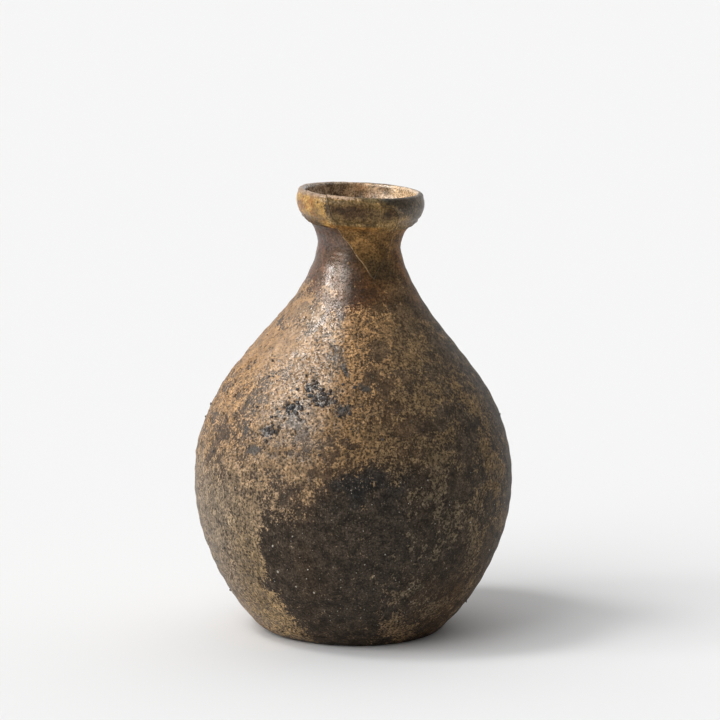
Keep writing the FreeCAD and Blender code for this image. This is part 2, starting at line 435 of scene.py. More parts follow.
def outside_look(points):
    """The wall's clay and crust colours, ash cover and gloss."""
    azimuth, height = azimuth_of(points), points[:, 2]
    scorch = scorch_at(points)
    pools = pools_at(points)
    clay = strokes(points, IRON_BROWN, CLAY_STROKES)
    clay = mixed(clay, neck_right_tone(points), ramp(azimuth, 12, 20) * ramp(height, 108, 112))
    clay = mixed(clay, POOL_BLACK, pools)
    clay = mixed(clay, SCORCHED, scorch * 0.92 * (1 - 0.45 * spot(points, -30, 22, 14, 30, seed=2)))
    smoke = ramp(scorch, 0.2, 0.7) * ramp(rough(points, 5, 59), -0.2, 0.1)
    clay = mixed(clay, SMOKE_BLUE, 0.8 * spot(points, 2, 54, 13, 6, seed=5) * smoke)
    clay = mixed(clay, FOOT_BROWN, 0.8 * ramp(13 - height, 0, 9) * ramp(scorch, 0, 0.5))
    crust = strokes(points, TAN, CRUST_STROKES)
    cover = cover_at(points, scorch)

    gloss = spot(points, -29, 93, 28, 23, seed=7) * (1 - 0.85 * ramp(azimuth, -20, -4))
    gloss += 0.22 * (1 - ramp(turn_from(points, -50), 60, 110)) + 0.25 * pools
    neck = ramp(height, 104, 112) * (1 - ramp(height, 120.5, 123.0))
    gloss += 0.2 * neck * (1 - 0.85 * ramp(azimuth, -30, -12)) + 0.1 * ramp(azimuth, 40, 80)
    return clay, crust, cover, np.clip(gloss * (1 - 0.8 * scorch), 0, 1)


def grain_at(points):
    """How granular the surface is: smooth on the upper left shoulder and the neck, rough lower down."""
    azimuth = azimuth_of(points)
    height = points[:, 2] + rough(points, 12, 427) * 14
    shoulder = ramp(height, 76, 92) * (1 - ramp(azimuth + rough(points, 9, 431) * 24, -34, -14))
    low_left = (1 - ramp(azimuth, -66, -52)) * (1 - ramp(height, 40, 54))
    return 1 - 0.75 * np.maximum(shoulder, ramp(height, 104, 114)) - 0.35 * low_left


def collar_look(points):
    """The collar: yellow ash on its left and lip, brown bands in front, and charcoal on its right."""
    azimuth, height = azimuth_of(points), points[:, 2]
    clay = plain(OLIVE, points)
    clay = mixed(clay, BAND_BROWN, 0.98 * spot(points, -12, 131.2, 27, 3.0, seed=8))
    clay = mixed(clay, BAND_BROWN, 0.9 * spot(points, 28, 130.2, 9, 1.5, seed=9))
    black = ramp(azimuth + rough(points, 4, 61) * 12 + (height - 131) * 4.5, 33, 44)
    clay = mixed(clay, CHARCOAL, 0.92 * black * ramp(height + rough(points, 3, 63) * 1.5, 128.4, 131.0))
    clay = mixed(clay, COLLAR_BROWN, ramp(azimuth + rough(points, 4, 73) * 14, 46, 64))
    clay = mixed(clay, TEAL, 0.3 * spot(points, 12, 134.2, 12, 0.9, seed=3))
    clay = mixed(clay, HONEY_AND_SHEEN, 0.55 * (1 - ramp(height, 125.6, 126.3)) * (1 - ramp(azimuth, 5, 45)))

    crust = mixed(plain(GOLD, points), ORANGE_SPOT, ramp(rough(points, 2.1, 67, octaves=3), 0.06, 0.2) * 0.7)
    low_left = (1 - ramp(height + rough(points, 3, 69) * 2, 126.4, 128.6)) * (1 - ramp(azimuth, -50, -34))
    crust = mixed(crust, MAUVE_GREY, 0.8 * low_left)
    crust = mixed(crust, PINK_TAN, ramp(height + rough(points, 1.5, 65) * 0.6, 133.2, 134.5))
    left = 1 - ramp(turn_from(points, -84), 46, 54)
    lip = ramp(height + rough(points, 1.5, 75) * 0.8, 133.7, 134.7) * (1 - ramp(azimuth, -16, 8))
    cover = np.maximum(0.96 * left, 0.85 * lip) + rough(points, 2.6, 64) * 0.25
    return clay, crust, np.clip(cover, 0, 1), 0.35 * ramp(height, 125.6, 127.0)


def inside_look(points):
    """The cup and the cavity: bare clay, glossy, grey on the left and pale on the right."""
    azimuth = azimuth_of(points)
    dark = 1 - ramp(np.abs(angle_between(azimuth + rough(points, 5, 79) * 40, -120)), 30, 66)
    clay = mixed(plain(CUP_TAN, points), CUP_GREY, dark)
    clay = mixed(clay, CUP_CLOUD, ramp(rough(points, 5, 77), 0.02, 0.2) * 0.8)
    pale = 1 - ramp(np.abs(angle_between(azimuth + rough(points, 4, 71) * 30, 115)), 30, 64)
    clay = mixed(clay, PEACH, pale)
    clay = mixed(clay, THROAT_BROWN, 1 - ramp(points[:, 2], 114, 121))
    blank = np.zeros(len(points))
    return clay, clay, blank, blank + 1.0


def fragment_look(points):
    """The collar's look above its ledge, and the neck's below."""
    clay, crust, cover, gloss = collar_look(points)
    neck = 1 - ramp(points[:, 2], COLLAR_LEDGE - 0.6, COLLAR_LEDGE + 0.4)
    clay = mixed(clay, neck_right_tone(points), neck)
    return clay, crust, cover * (1 - neck), gloss * 0.5


# ---- Unevenness of the surface, in millimetres along its normal ----


# The throwing rings' spacing and depth on the neck, and those of the slower swell under them, in mm
RING_STEP, RING_DEPTH = 1.35, 0.018
SWELL_STEP, SWELL_DEPTH = 5.2, 0.07


def warp_at(points):
    """The slow unevenness of a thrown and fired pot, and the throwing rings on its neck."""
    height = points[:, 2]
    slow = rough(points, 34, 101, octaves=2) * 0.75
    turns = (height + rough(points, 26, 105, octaves=2) * 1.4) * 2 * math.pi
    rings = np.sin(turns / RING_STEP) * RING_DEPTH * ramp(height, 112, 117)
    rings += np.sin(turns / SWELL_STEP) * SWELL_DEPTH
    return slow * (1 - 0.6 * ramp(height, 95, 115)) + rings * (1 - ramp(height, 123.5, 124.5))


def pits(points, size, seed, radius, depth, share):
    """Small round hollows at a share of scattered places."""
    distance, number = scattered(points, size, seed)
    own = radius * (0.5 + number / share * 0.6)
    return np.where(number < share, -depth * np.clip(1 - (distance / own) ** 2, 0, 1), 0)


def ridge(off, middle, width):
    """A rounded rise across a line, 1 at its middle."""
    return np.exp(-(((off - middle) / width) ** 2))


def gouge_at(points):
    """A shallow slanting scar on the lower right, with a raised upper edge."""
    across = angle_between(azimuth_of(points), 22)
    off = points[:, 2] - (43.6 + across * 0.2 + rough(points, 5, 241) * 2.0)
    return (1 - ramp(np.abs(across), 7, 13)) * (0.3 * ridge(off, 0.8, 1.1) - 0.45 * ridge(off, -0.5, 0.5))


def outside_relief(points, cover):
    fine = rough(points, 3.2, 121, octaves=2) * 0.1
    crusty = rough(points, 4.4, 125, octaves=3) * 0.26 * ramp(cover, 0.3, 0.7)
    hollows = pits(points, 5.5, 131, 0.95, 0.4, 0.3) * (0.25 + 0.75 * ramp(cover, 0.3, 0.6))
    return fine + crusty + hollows + gouge_at(points)


LEDGE_HEIGHT = 126.35
CUP_WIDEST = 15.6


def ledge_at(points):
    """The thin raised line that runs round the collar a little above its lower edge."""
    off = points[:, 2] - LEDGE_HEIGHT - rough(points, 12, 147) * 0.5
    outside = np.hypot(points[:, 0], points[:, 1]) > CUP_WIDEST
    return outside * (0.16 * ridge(off, 0, 0.28) - 0.14 * ridge(off, 0.7, 0.4))


def collar_relief(points, cover):
    rougher = rough(points, 2.6, 141, octaves=3) * (0.1 + 0.16 * cover)
    return rougher + pits(points, 3.1, 145, 0.5, 0.22, 0.35) + ledge_at(points)


def inside_relief(points):
    return rough(points, 4.0, 151, octaves=2) * 0.1


# ---- Meshes ----


def direction_along(path):
    run = np.gradient(path, axis=0)
    return run / np.linalg.norm(run, axis=1)[:, None]


def normals_of(profile):
    """Outward normals of a profile that runs up the outside or down the inside."""
    run = direction_along(profile)
    return np.stack([run[:, 1], -run[:, 0]], 1)


def turned_grid(profile, columns, start=-180.0, end=180.0):
    """Points, normals and quads of a surface of revolution. A full turn closes."""
    closed = end - start >= 360
    spokes = around(np.linspace(start, end, columns, endpoint=not closed))

    def spun(pairs):
        flat = pairs[:, None, :1] * spokes[None]
        rise = np.repeat(pairs[:, 1], columns).reshape(len(pairs), columns, 1)
        return np.concatenate([flat, rise], 2).reshape(-1, 3)

    rows = np.arange(len(profile) - 1)[:, None]
    cols = np.arange(columns if closed else columns - 1)[None]
    here = rows * columns + cols
    beside = rows * columns + (cols + 1) % columns
    quads = np.stack([here, beside, beside + columns, here + columns], 2).reshape(-1, 4)
    return spun(profile), spun(normals_of(profile)), quads


TONES = ("clay_tone", "crust_tone")
SHARES = ("cover", "gloss", "relief", "grain")


def build(name, points, faces, looks, material, node):
    """A mesh object in the row frame with its look in attributes, riding on the root."""
    mesh = bpy.data.meshes.new(name)
    mesh.from_pydata(stood(points).tolist(), [], [list(map(int, f)) for f in faces])
    for key, colour in zip(TONES, looks):
        layer = mesh.attributes.new(key, "FLOAT_COLOR", "POINT")
        layer.data.foreach_set("color", np.c_[colour, np.ones(len(colour))].astype(np.float32).ravel())
    for key, values in zip(SHARES, (*looks[len(TONES):], grain_at(points))):
        layer = mesh.attributes.new(key, "FLOAT", "POINT")
        layer.data.foreach_set("value", np.asarray(values, np.float32))
    mesh.polygons.foreach_set("use_smooth", np.ones(len(mesh.polygons), bool))
    mesh.materials.append(material)
    mesh.update()
    piece = bpy.data.objects.new(name, mesh)
    bpy.context.scene.collection.objects.link(piece)
    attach(piece, "root")
    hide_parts(node)


def skin(name, grid, look, relief, rise, keep, material, node):
    """A turned grid, raised along its normals, with only the faces to keep."""
    base, normals, quads = grid
    placed = base + normals * (warp_at(base) + rise)[:, None]
    used, packed = np.unique(quads[keep], return_inverse=True)
    looks = [layer[used] for layer in (*look, relief)]
    build(name, placed[used], packed.reshape(-1, 4), looks, material, node)


def face_values(values, faces):
    return values[faces].mean(1)


def smoothed(stations, reach=7):
    """A polyline without the CAD mesh's facets, with its ends kept."""
    stations = np.array(stations)
    weights = np.exp(-np.linspace(-2, 2, 2 * reach + 1) ** 2)
    padded = np.pad(stations[:, 0], reach, mode="reflect", reflect_type="odd")
    radii = np.convolve(padded, weights / weights.sum(), mode="valid")
    return np.stack([radii, stations[:, 1]], 1)


WALL_RUN = smoothed(outside_run(SLAB_JOINT + 0.02, COLLAR_LEDGE - 0.05))
COLLAR_RUN = np.array(
    [WALL_RUN[-1]]
    + outside_run(COLLAR_LEDGE + 0.02, NEAR_CREST)
    + [(CREST_RADIUS, LIP_CREST)]
    + inside_run(NEAR_CREST, CUP_FOOT)
)
CAVITY_RUN = np.array(inside_run(CUP_FOOT, SLAB_TOP))

# The refitted fragment seen from the front, as the CAD has it: (x, height), anticlockwise
FRAGMENT_OUTLINE = [(-10.9, 137.0), (-8.2, 126.4), (4.4, 110.3), (8.6, 118.0), (11.8, 129.5), (9.6, 132.3),
                    (6.2, 132.8), (5.6, 137.0)]
FRAGMENT_PROUD = 0.1


def broken_edge(outline, step=0.7, wander=0.22):
    """The outline as a break runs: stepped finely, and wandering a little."""
    closed = np.array(outline + outline[:1])
    edge = evened(closed, step)[:-1]
    there = np.c_[edge[:, 0], np.zeros(len(edge)), edge[:, 1]]
    shift = np.stack([rough(there, 3.0, 201, octaves=3), rough(there, 3.0, 211, octaves=3)], 1)
    return edge + shift * wander * 2


EDGE = broken_edge(FRAGMENT_OUTLINE)


def depth_in_fragment(points):
    """How far inside the fragment's outline each point lies. Outside it is negative."""
    x, height = points[:, 0], points[:, 2]
    nearest = np.full(len(points), np.inf)
    crossings = np.zeros(len(points), int)
    for a, b in zip(EDGE, np.roll(EDGE, -1, axis=0)):
        run = b - a
        share = np.clip(((x - a[0]) * run[0] + (height - a[1]) * run[1]) / (run @ run), 0, 1)
        nearest = np.minimum(nearest, np.hypot(x - a[0] - share * run[0], height - a[1] - share * run[1]))
        if run[1]:
            between = (a[1] > height) != (b[1] > height)
            crossings += between & (x < a[0] + (height - a[1]) * run[0] / run[1])
    inside = (crossings % 2 == 1) & (points[:, 1] < 0)
    return np.where(inside, nearest, -nearest)


# ---- Materials ----


def feed(tree, socket, value):
    if isinstance(value, bpy.types.NodeSocket):
        tree.links.new(value, socket)
    elif hasattr(value, "__len__") and socket.type == "RGBA":
        socket.default_value = (*value, 1)
    else:
        socket.default_value = value


def add_node(tree, kind, inputs=(), **settings):
    node = tree.nodes.new(kind)
    for key, value in settings.items():
        setattr(node, key, value)
    for key, value in dict(inputs).items():
        feed(tree, node.inputs[key], value)
    return node


class Finish:
    """A node material in the making. Its noises have sizes in mm."""

    def __init__(self, name):
        self.material = bpy.data.materials.new(name)
        self.material.use_nodes = True
        self.tree = self.material.node_tree
        self.place = self.make("ShaderNodeTexCoord").outputs["Object"]

    def make(self, kind, inputs=(), **settings):
        return add_node(self.tree, kind, inputs, **settings)

    def set(self, name, value):
        feed(self.tree, self.tree.nodes["Principled BSDF"].inputs[name], value)

    def layer(self, name, output="Fac"):
        return self.make("ShaderNodeAttribute", attribute_name=name).outputs[output]

    def noise(self, size, detail=3.0, roughness=0.55):
        inputs = {"Vector": self.place, "Scale": 1 / (size * MM), "Detail": detail, "Roughness": roughness}
        return self.make("ShaderNodeTexNoise", inputs).outputs["Fac"]

    def cells(self, size, output="Distance"):
        inputs = {"Vector": self.place, "Scale": 1 / (size * MM)}
        return self.make("ShaderNodeTexVoronoi", inputs).outputs[output]

    def ranged(self, value, low, high, to_low=0.0, to_high=1.0):
        inputs = {"Value": value, "From Min": low, "From Max": high, "To Min": to_low, "To Max": to_high}
        return self.make("ShaderNodeMapRange", inputs, interpolation_type="SMOOTHSTEP").outputs["Result"]

    def math(self, operation, a, b):
        return self.make("ShaderNodeMath", {0: a, 1: b}, operation=operation).outputs[0]

    def sum(self, a, b):
        return self.math("ADD", a, b)

    def times(self, a, b):
        return self.math("MULTIPLY", a, b)

    def about_zero(self, noise, amount):
        """A noise moved from about 0.5 to about 0 and scaled."""
        return self.times(self.math("SUBTRACT", noise, 0.5), amount)

    def mix(self, share, a, b):
        """Colours a and b mixed by a share. The node's inputs 6 and 7 are its two colours."""
        return self.make("ShaderNodeMix", {"Factor": share, 6: a, 7: b}, data_type="RGBA").outputs[2]

    def lit(self, colour, by, low, high, dark, light):
        """The colour made darker or lighter as a value goes from low to high."""
        value = self.ranged(by, low, high, dark, light)
        return self.make("ShaderNodeHueSaturation", {"Color": colour, "Value": value}).outputs["Color"]

    def specks(self, size, reach, share):
        """Round specks at a share of places about a size apart."""
        near = self.ranged(self.cells(size), reach, reach * 0.55)
        number = self.make("ShaderNodeSeparateColor", {"Color": self.cells(size, "Color")}).outputs["Red"]
        return self.times(near, self.ranged(number, share, share - 0.03))

    def bumped(self, height, distance, strength, under=None):
        inputs = {"Height": height, "Distance": distance * MM, "Strength": strength}
        if under:
            inputs["Normal"] = under
        return self.make("ShaderNodeBump", inputs).outputs["Normal"]


def fired_clay(name, grain=1.0):
    """Iron-bearing stoneware with natural ash on it, as the mesh's layers say."""
    f = Finish(name)
    cover, gloss, relief, grain_share = (f.layer(key) for key in SHARES)
    coarse, middle = f.noise(3.0, 5, 0.62), f.noise(1.25, 3, 0.6)
    fine, grit = f.noise(0.62, 3, 0.7), f.noise(0.26, 2)
    grains = f.sum(f.cells(0.95), f.about_zero(fine, 1.1))

    broken = f.sum(f.about_zero(fine, 1.7), cover)
    broken = f.sum(broken, f.about_zero(middle, 0.9))
    broken = f.sum(broken, f.about_zero(coarse, 0.6))
    ash = f.ranged(broken, 0.34, 0.6)

    clay = f.lit(f.layer("clay_tone", "Color"), coarse, 0.34, 0.66, 0.55, 1.5)
    clay = f.lit(clay, fine, 0.36, 0.64, 0.48, 1.56)
    pale = f.math("MAXIMUM", f.specks(1.1, 0.24, 0.34), f.specks(0.62, 0.28, 0.36))
    clay = f.mix(f.times(pale, f.times(grain_share, 0.55)), clay, SPECK_PALE)

    ground = f.lit(f.layer("crust_tone", "Color"), coarse, 0.3, 0.72, 0.66, 1.34)
    smooth = f.lit(ground, fine, 0.36, 0.64, 0.8, 1.16)
    crust = f.lit(ground, fine, 0.38, 0.62, 0.62, 1.36)
    crust = f.lit(crust, middle, 0.36, 0.64, 0.66, 1.28)
    crust = f.lit(crust, grains, 0.14, 0.5, 0.34, 1.12)
    crust = f.mix(grain_share, smooth, crust)
    # Painted shade: the crust is darkened where the relief is low, in its hollows and pits
    crust = f.lit(crust, relief, -0.6, 0.1, 0.25, 1.0)
    iron = f.math("MAXIMUM", f.specks(1.9, 0.3, 0.3), f.specks(0.8, 0.28, 0.38))
    crust = f.mix(f.times(iron, 0.8), crust, SPECK_IRON)
    f.set("Base Color", f.mix(ash, clay, crust))

    satin = f.ranged(fine, 0.25, 0.75, 0.56, 0.74)
    crusty = f.ranged(coarse, 0.3, 0.7, 0.54, 0.74)
    dull = f.make("ShaderNodeMix", {0: ash, 2: satin, 3: crusty}, data_type="FLOAT").outputs[0]
    f.set("Roughness", f.math("SUBTRACT", dull, f.times(gloss, 0.38)))
    f.set("Specular IOR Level", f.ranged(gloss, 0.0, 1.0, 0.14, 0.95))
    f.set("Specular Tint", (1.0, 0.86, 0.7))
    rub = f.ranged(grain_share, 0.2, 1.0, 0.4 * grain, grain)
    normal = None
    for height, depth, strength in (
        (coarse, 0.6, 0.35),
        (middle, 0.45, 0.7),
        (grains, 0.16, 0.7),
        (fine, 0.26, 0.8),
        (grit, 0.07, 0.5),
    ):
        normal = f.bumped(height, depth, f.times(rub, strength), normal)
    f.set("Normal", normal)

    f.set("Coat Weight", f.times(gloss, f.ranged(fine, 0.42, 0.58, 0.05, 1.0)))
    f.set("Coat IOR", 1.75)
    f.set("Coat Roughness", 0.15)
    film = f.bumped(middle, 0.3, f.times(rub, 0.22))
    f.set("Coat Normal", f.bumped(fine, 0.16, f.times(rub, 0.8), film))
    return f.material


def lacquer_finish():
    f = Finish("seam_lacquer")
    mottled = f.noise(1.4, 4)
    colour = f.lit(f.layer("clay_tone", "Color"), mottled, 0.32, 0.68, 0.6, 1.45)
    f.set("Base Color", f.mix(f.specks(0.9, 0.3, 0.25), colour, SPECK_DARK))
    f.set("Roughness", f.ranged(mottled, 0.3, 0.7, 0.4, 0.62))
    f.set("Specular IOR Level", 0.35)
    f.set("Normal", f.bumped(f.noise(0.5, 3), 0.1, 0.5))
    return f.material


def feldspar_finish():
    f = Finish("feldspar")
    cloud = f.noise(0.8, 3)
    f.set("Base Color", f.mix(f.ranged(cloud, 0.3, 0.7), STONE_GREY, STONE_WHITE))
    f.set("Roughness", f.ranged(cloud, 0.3, 0.7, 0.35, 0.6))
    f.set("Normal", f.bumped(f.noise(0.4, 3), 0.12, 0.6))
    return f.material


def grit_finish():
    """Melted grit: dark glass, with ash-coloured beads among it."""
    f = Finish("glassy_grit")
    cloud = f.noise(0.9, 3)
    tone = f.mix(f.layer("cover"), f.layer("clay_tone", "Color"), f.layer("crust_tone", "Color"))
    f.set("Base Color", f.lit(tone, cloud, 0.3, 0.7, 0.55, 1.35))
    f.set("Roughness", f.ranged(cloud, 0.3, 0.7, 0.14, 0.34))
    f.set("Specular IOR Level", 0.6)
    f.set("Normal", f.bumped(f.noise(0.5, 3), 0.14, 0.6))
    return f.material


CLAY_FINISH = fired_clay("fired_clay")
COLLAR_FINISH = fired_clay("collar_clay", grain=0.8)
CRUST_FINISH = fired_clay("ash_crust", grain=1.25)
INNER_FINISH = fired_clay("inner_clay", grain=0.6)
FRAGMENT_FINISH = fired_clay("fragment_clay", grain=0.45)

# ---- The pieces ----

COLUMNS = 440


def clear_of_fragment(base, quads, overlap):
    """The faces that reach no further than the overlap under the fragment."""
    return face_values(depth_in_fragment(base), quads) < overlap


# Where the neck begins, with its finer steps
NECK_LOW = 108.0


def make_wall():
    joint = int(np.argmax(WALL_RUN[:, 1] > NECK_LOW))
    profile = np.concatenate([evened(WALL_RUN[: joint + 1], 0.9), evened(WALL_RUN[joint:], 0.32)[1:]])
    grid = base, _, quads = turned_grid(profile, COLUMNS)
    look = outside_look(base)
    relief = outside_relief(base, look[2])
    keep = clear_of_fragment(base, quads, 1.2)
    skin("bottle_wall", grid, look, relief, relief, keep, CLAY_FINISH, "body_wall")


def make_cavity():
    grid = base, _, quads = turned_grid(evened(CAVITY_RUN, 1.1), 260)
    relief = inside_relief(base)
    keep = clear_of_fragment(base, quads, 0.8)
    skin("cavity_wall", grid, inside_look(base), relief, relief, keep, INNER_FINISH, "body_wall")


def make_slab():
    """The foot: its underside, its heel, and the lap under the wall."""
    joint = tuple(WALL_RUN[0])
    lap = (radius_inside(SLAB_TOP + 0.05), SLAB_TOP)
    heel = outside_run(-0.9, SLAB_JOINT, 60)
    profile = np.concatenate([
        evened([(0.0, heel[0][1]), heel[0]], 2.4),
        evened(heel + [joint], 0.6)[1:],
        evened([joint, lap, (0.0, SLAB_TOP)], 2.0)[1:],
    ])
    grid = base, _, quads = turned_grid(profile, COLUMNS)
    look = outside_look(base)
    relief = outside_relief(base, look[2])
    keep = np.ones(len(quads), bool)
    skin("foot_slab", grid, look, relief, relief * 0.6, keep, CLAY_FINISH, "base_slab")


FRAGMENT_LOW = 109.0
FRAGMENT_INNER_END = 112.0
MOUTH_HEIGHTS = np.linspace(FRAGMENT_LOW, NEAR_CREST, 240)
MOUTH_MIDDLE = np.array([(radius_outside(h) + radius_inside(h)) / 2 for h in MOUTH_HEIGHTS])


def inward_at(points):
    """1 on the inner side of the mouth and neck, 0 on the outer side."""
    middle = np.interp(points[:, 2], MOUTH_HEIGHTS, MOUTH_MIDDLE)
    return ramp(middle - np.hypot(points[:, 0], points[:, 1]) + rough(points, 2.0, 221) * 0.5, 0.05, 0.75)


def inside_blended(points, outside):
    """The outside's look with the cup's look on the inner side."""
    inward = inward_at(points)
    return [a + ((b - a).T * inward).T for a, b in zip(outside, inside_look(points))]


def make_collar():
    grid = base, _, quads = turned_grid(evened(COLLAR_RUN, 0.28), COLUMNS)
    look = inside_blended(base, collar_look(base))
    relief = collar_relief(base, look[2])
    keep = clear_of_fragment(base, quads, 0.7)
    skin("mouth_collar", grid, look, relief, relief, keep, COLLAR_FINISH, "rim_collar")


def mouth_run(step):
    """The outside of the neck, over the lip, and down the cup into the throat."""
    neck = WALL_RUN[WALL_RUN[:, 1] > FRAGMENT_LOW]
    throat = CAVITY_RUN[CAVITY_RUN[:, 1] > FRAGMENT_INNER_END]
    return evened(np.concatenate([neck, COLLAR_RUN, throat]), step)


def make_fragment():
    grid = base, _, quads = turned_grid(mouth_run(0.25), 190, -46.0, 50.0)
    depth = depth_in_fragment(base)
    look = inside_blended(base, fragment_look(base))
    relief = rough(base, 3.0, 161, octaves=3) * 0.1 + ledge_at(base)
    rise = relief + FRAGMENT_PROUD * ramp(depth, 0.0, 0.5)
    keep = face_values(depth, quads) > 0.12
    skin("refitted_fragment", grid, look, relief, rise, keep, FRAGMENT_FINISH, "mended_fragment")


# The lacquer line's radius, where it ends in the cup, and how far out it may cross the lip
LACQUER_RADIUS = 0.17
LACQUER_END = 124.0
LIP_LEFT, LIP_RIGHT = 12, 7
RIGHT_END = 6.1
LIP_ROWS = 7


def worn_at(points):
    """Where the lacquer has worn thin, from 0 to 1: past the fragment's tip, up its right side."""
    return ramp(points[:, 0] - (points[:, 2] - 110) * 0.1, 2.6, 5.0)


def lip_path(side, run, inner, crest):
    """The run's rows over the lip and down the cup, and the break's x at each."""
    rows = np.concatenate([inner[run[inner][:, 1] > LACQUER_END], np.arange(crest, crest - LIP_ROWS, -1)])
    edge = EDGE[EDGE[:, 0] * side > 0]
    edge = edge[(edge[:, 1] > LACQUER_END - 1) & (np.abs(edge[:, 0]) < (LIP_LEFT if side < 0 else LIP_RIGHT))]
    edge = edge[edge[:, 1].argsort()]
    x = np.interp(run[rows][:, 1], edge[:, 1], edge[:, 0])
    return rows, x if side < 0 else np.minimum(x, RIGHT_END)


def make_seam():
    """A thin raised line of lacquer along the break, outside, over the lip and down into the cup."""
    run = mouth_run(0.2)
    normals = normals_of(run)
    crest = int(run[:, 1].argmax())
    inner = np.arange(len(run) - 1, crest, -1)
    break_line = evened(np.concatenate([EDGE, EDGE[:1]]), 0.25)
    paths = [on_run(break_line[break_line[:, 1] < LIP_CREST - 0.05], run[:crest], normals[:crest])]
    for side in (-1, 1):
        rows, x = lip_path(side, run, inner, crest)
        paths.append(on_rows(x, run[rows], normals[rows]))
    points, faces = joined([tube(path, out, LACQUER_RADIUS) for path, out in paths])
    height = points[:, 2]
    cup = np.interp(height, (LACQUER_END, LIP_CREST), (CUP_WIDEST - 0.1, CREST_RADIUS))
    inside = (np.hypot(points[:, 0], points[:, 1]) < cup) & (height > COLLAR_LEDGE)
    tone = mixed(plain(LACQUER, points), LACQUER_WORN, worn_at(points))
    tone = mixed(tone, LACQUER_INSIDE, inside)
    faint = np.maximum(ramp(height, 127.0, 129.0), 1 - ramp(height, 111.0, 113.5))
    tone = mixed(tone, LACQUER_FAINT, 0.9 * faint)
    build("lacquer_line", points, faces, bare(tone), lacquer_finish(), "lacquer_seam")


def on_rows(x, rows, normals):
    """Points of the front at each row's radius and height and at an x, and the way out."""
    y = -np.sqrt(np.maximum(rows[:, 0] ** 2 - x**2, 0.01))
    base = np.stack([x, y, rows[:, 1]], 1)
    out = np.stack([normals[:, 0] * x / rows[:, 0], normals[:, 0] * y / rows[:, 0], normals[:, 1]], 1)
    return base + out * (warp_at(base) + 0.04)[:, None], out


def on_run(edge, run, normals):
    """Points of the front at the (x, height) of each edge point."""
    order = run[:, 1].argsort()
    radius, *slopes = [np.interp(edge[:, 1], run[order, 1], table[order]) for table in (run[:, 0], *normals.T)]
    return on_rows(edge[:, 0], np.stack([radius, edge[:, 1]], 1), np.stack(slopes, 1))


def tube(path, out, radius, sides=8):
    """An uneven tube along a path, flattened onto the surface."""
    across = np.cross(direction_along(path), out)
    swell = radius * (0.85 + 0.9 * (noise(path, 1.3, 231) - 0.5)) * (1 - 0.4 * worn_at(path))
    rings = [
        path + across * (swell * math.cos(a) * 1.15)[:, None] + out * (swell * math.sin(a) * 0.8)[:, None]
        for a in np.linspace(0, 2 * math.pi, sides, endpoint=False)
    ]
    rows = np.arange(len(path) - 1)[:, None] * sides
    cols = np.arange(sides)[None]
    after = (cols + 1) % sides
    quads = np.stack([rows + cols, rows + after, rows + after + sides, rows + cols + sides], 2)
    return np.stack(rings, 1).reshape(-1, 3), quads.reshape(-1, 4)


def bare(tone):
    """A look of one tone, with no ash, gloss or relief."""
    blank = np.zeros(len(tone))
    return tone, tone, blank, blank, blank


def joined(parts):
    """Several (points, faces) as one."""
    firsts = np.cumsum([0] + [len(points) for points, _ in parts])
    return (
        np.concatenate([points for points, _ in parts]),
        np.concatenate([faces + first for (_, faces), first in zip(parts, firsts)]),
    )


# The crust's height range, and how deep it is set into the clay
CRUST_LOW = 5.0
CRUST_HIGH = 111.0
CRUST_SET = 0.05


def ash_rise(base, cover):
    """How far the ash stands above the clay, and how thick it is there from 0 to 1."""
    thick = ramp(cover + rough(base, 2.2, 171, octaves=3) * 0.3, 0.36, 0.9)
    wild = np.clip(spot(base, -38, 72, 40, 18, seed=9) + 0.22, 0, 1)
    lumps = np.clip(rough(base, 3.0, 181, gain=0.6), -0.1, 1) * 1.5
    holes = pits(base, 2.6, 191, 0.62, 0.6, 0.42) + pits(base, 1.35, 195, 0.36, 0.35, 0.45)
    weave = rough(base, 1.5, 187, octaves=2) * (0.08 + 0.22 * wild) * grain_at(base)
    rise = thick * (0.1 + weave + wild * (0.3 + lumps * 0.65) + holes * (0.35 + 0.65 * wild))
    away = np.abs(angle_between(azimuth_of(base) + rough(base, 9, 197) * 16, -46))
    rise *= 1 - ramp(away, 76, 88)
    height = base[:, 2] + rough(base, 8, 199) * 8
    rise *= ramp(height, CRUST_LOW + 2, CRUST_LOW + 12) * (1 - ramp(height, CRUST_HIGH - 12, CRUST_HIGH - 5))
    return rise, thick


def make_crust():
    """The thick ash on the fire side: rough, pitted, and ragged where it thins."""
    run = WALL_RUN[(WALL_RUN[:, 1] > CRUST_LOW) & (WALL_RUN[:, 1] < CRUST_HIGH)]
    grid = base, _, quads = turned_grid(evened(run, 0.43), 430, -138.0, 46.0)
    look = outside_look(base)
    ash, thick = ash_rise(base, look[2])
    rise = outside_relief(base, look[2]) + ash - CRUST_SET
    # The relief layer, which the shader also uses to paint shade into the crust's hollows
    relief = np.clip((ash - 0.3 * thick) * 1.9, -1, 1)
    keep = face_values(ash, quads) > 0.04
    skin("ash_skin", grid, look, relief, rise, keep, CRUST_FINISH, "ash_glaze")


def islands(name):
    """The centre and size of each separate solid of a CAD node."""
    shape = bmesh.new()
    shape.from_mesh(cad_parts[name].data)
    bmesh.ops.remove_doubles(shape, verts=shape.verts, dist=1e-5)
    shape.verts.ensure_lookup_table()
    seen, found = set(), []
    for start in shape.verts:
        group, queue = [], [start]
        while queue:
            vertex = queue.pop()
            if vertex.index not in seen:
                seen.add(vertex.index)
                group.append(vertex.co / MM)
                queue.extend(edge.other_vert(vertex) for edge in vertex.link_edges)
        if group:
            points = upright(np.array(group))
            found.append((points.mean(0), np.ptp(points, axis=0).max()))
    shape.free()
    return found


def ball(level):
    shape = bmesh.new()
    bmesh.ops.create_icosphere(shape, subdivisions=level, radius=1)
    points = np.array([v.co for v in shape.verts])
    faces = np.array([[v.index for v in f.verts] for f in shape.faces])
    shape.free()
    return points, faces


BALLS = {level: ball(level) for level in (1, 2)}


